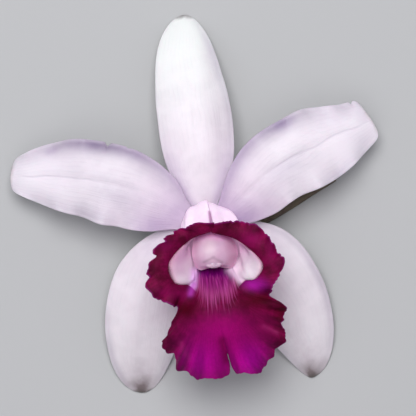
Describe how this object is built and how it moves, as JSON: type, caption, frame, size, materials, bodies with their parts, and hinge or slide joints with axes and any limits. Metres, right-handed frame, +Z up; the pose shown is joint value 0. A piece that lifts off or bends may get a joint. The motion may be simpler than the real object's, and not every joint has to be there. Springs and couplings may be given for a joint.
{
  "type": "cattleya orchid bloom",
  "caption": "Cattleya orchid bloom as picked, lying face up: white sepals and petals round a frilled magenta lip, with its column and grooved stalk.",
  "frame": {"origin": "middle of the bloom's box on the surface that it lies on", "axes": "+Z up, the way the bloom faces; +Y towards the tip of the top sepal; +X to the right as the bloom is looked at"},
  "size_m": [0.1112, 0.1153, 0.0382],
  "materials": {
    "sepal_white": "soft satin, fleshy white tissue with faint long veins",
    "petal_white": "soft satin, white tissue with lilac margins and faint veins",
    "lip_magenta": "velvety deep magenta, pale throat with purple veins, white tube outside",
    "column_wax": "waxy pale pink",
    "anther_cream": "waxy cream",
    "stalk_green": "satin brown-green, fine lengthwise grooves"
  },
  "bodies": {
    "root": {"sepal_dorsal": "sepal_white", "sepal_lateral_left": "sepal_white", "sepal_lateral_right": "sepal_white", "petal_left": "petal_white", "petal_right": "petal_white", "lip": "lip_magenta", "column": "column_wax", "anther_cap": "anther_cream", "ovary_stalk": "stalk_green"}
  },
  "joints": []
}
